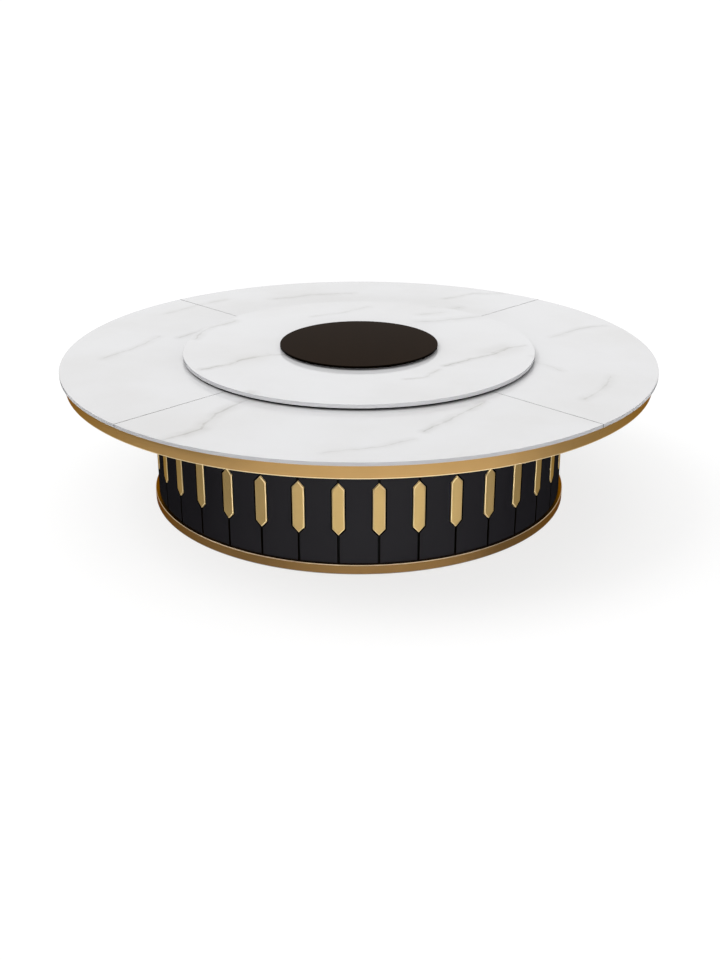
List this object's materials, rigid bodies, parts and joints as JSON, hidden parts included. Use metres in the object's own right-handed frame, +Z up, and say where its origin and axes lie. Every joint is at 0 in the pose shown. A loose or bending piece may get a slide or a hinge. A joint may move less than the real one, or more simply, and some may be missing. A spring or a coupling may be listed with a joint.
{
  "type": "banquet table",
  "caption": "Round banquet table: stone ring top on a black panelled drum with gold inlays, a motor-driven stone turntable and a glass disc turned by hand.",
  "frame": {"origin": "on the floor, under the middle of the table", "axes": "+Z up along the turntable's axis, the front towards -Y; the four quarters of the top face -Y, +X, +Y and -X"},
  "size_m": [3.1996, 3.1996, 0.83],
  "materials": {
    "stone": "polished sintered stone, white with faint grey veins",
    "gold_steel": "stainless steel sheet with a satin titanium gold coat",
    "black_panel": "black satin lacquer on bent board",
    "board": "plain plywood",
    "black_board": "black painted plywood",
    "glass": "black-brown tempered glass, polished edge",
    "frame_steel": "black powder coat",
    "zinc_steel": "bright zinc plate",
    "machined_steel": "turned and ground steel",
    "aluminium": "plain extruded aluminium",
    "motor_case": "grey painted case",
    "plastic": "moulded black plastic",
    "nylon": "cast nylon",
    "rubber": "moulded rubber"
  },
  "bodies": {
    "base": {"stone_top_front": "stone", "stone_top_right": "stone", "stone_top_back": "stone", "stone_top_left": "stone", "top_substrate_front": "board", "top_substrate_right": "board", "top_substrate_back": "board", "top_substrate_left": "board", "skirt_front": "gold_steel", "skirt_right": "gold_steel", "skirt_back": "gold_steel", "skirt_left": "gold_steel", "panels_front": "black_panel", "panels_right": "black_panel", "panels_back": "black_panel", "panels_left": "black_panel", "inlays_front": "gold_steel", "inlays_right": "gold_steel", "inlays_back": "gold_steel", "inlays_left": "gold_steel", "plinth_trim_front": "gold_steel", "plinth_trim_right": "gold_steel", "plinth_trim_back": "gold_steel", "plinth_trim_left": "gold_steel", "plinth_core_front": "board", "plinth_core_right": "board", "plinth_core_back": "board", "plinth_core_left": "board", "glide_feet": "rubber", "carcass_ribs": "board", "backing_skins": "black_board", "top_boards": "board", "outrigger_arms": "frame_steel", "joining_plates": "zinc_steel", "drive_frame": "frame_steel", "frame_bolts": "zinc_steel", "roller_brackets": "frame_steel", "roller_axles": "zinc_steel", "spindle_housing": "machined_steel", "spindle_bearings": "machined_steel", "gearmotor": "motor_case", "motor_bracket": "frame_steel", "control_box": "plastic"},
    "turntable": {"turntable_stone": "stone", "turntable_board": "black_board", "track_ring": "frame_steel", "hub_flange": "machined_steel", "spindle": "machined_steel", "disc_bearing_outer": "aluminium", "bearing_balls": "machined_steel"},
    "centre_disc": {"glass_disc": "glass", "disc_bearing_inner": "aluminium", "disc_pads": "rubber"},
    "drive_unit": {"drive_wheel": "rubber"},
    "roller_unit_1": {"roller_1": "nylon"},
    "roller_unit_2": {"roller_2": "nylon"},
    "roller_unit_3": {"roller_3": "nylon"},
    "roller_unit_4": {"roller_4": "nylon"},
    "roller_unit_5": {"roller_5": "nylon"},
    "roller_unit_6": {"roller_6": "nylon"}
  },
  "joints": [
    {"name": "turntable_spin", "type": "hinge", "parent": "base", "child": "turntable", "pos_m": [0, 0, 0.79], "axis": [0, 0, 1], "continuous": true},
    {"name": "centre_disc_spin", "type": "hinge", "parent": "turntable", "child": "centre_disc", "pos_m": [0, 0, 0.82], "axis": [0, 0, 1], "continuous": true},
    {"name": "drive_wheel_spin", "type": "hinge", "parent": "base", "child": "drive_unit", "pos_m": [0.62798, 0.20404, 0.759], "axis": [0, 0, 1], "continuous": true},
    {"name": "roller_1_spin", "type": "hinge", "parent": "base", "child": "roller_unit_1", "pos_m": [0.50836, 0.2935, 0.7527], "axis": [0.866, 0.5, 0], "continuous": true},
    {"name": "roller_2_spin", "type": "hinge", "parent": "base", "child": "roller_unit_2", "pos_m": [0, 0.587, 0.7527], "axis": [0, 1, 0], "continuous": true},
    {"name": "roller_3_spin", "type": "hinge", "parent": "base", "child": "roller_unit_3", "pos_m": [-0.50836, 0.2935, 0.7527], "axis": [-0.866, 0.5, 0], "continuous": true},
    {"name": "roller_4_spin", "type": "hinge", "parent": "base", "child": "roller_unit_4", "pos_m": [-0.50836, -0.2935, 0.7527], "axis": [-0.866, -0.5, 0], "continuous": true},
    {"name": "roller_5_spin", "type": "hinge", "parent": "base", "child": "roller_unit_5", "pos_m": [0, -0.587, 0.7527], "axis": [0, -1, 0], "continuous": true},
    {"name": "roller_6_spin", "type": "hinge", "parent": "base", "child": "roller_unit_6", "pos_m": [0.50836, -0.2935, 0.7527], "axis": [0.866, -0.5, 0], "continuous": true}
  ],
  "couplings": [
    {"joint": "drive_wheel_spin", "follows": "turntable_spin", "ratio": -15.5},
    {"joint": "roller_1_spin", "follows": "turntable_spin", "ratio": -29.35},
    {"joint": "roller_2_spin", "follows": "turntable_spin", "ratio": -29.35},
    {"joint": "roller_3_spin", "follows": "turntable_spin", "ratio": -29.35},
    {"joint": "roller_4_spin", "follows": "turntable_spin", "ratio": -29.35},
    {"joint": "roller_5_spin", "follows": "turntable_spin", "ratio": -29.35},
    {"joint": "roller_6_spin", "follows": "turntable_spin", "ratio": -29.35}
  ]
}
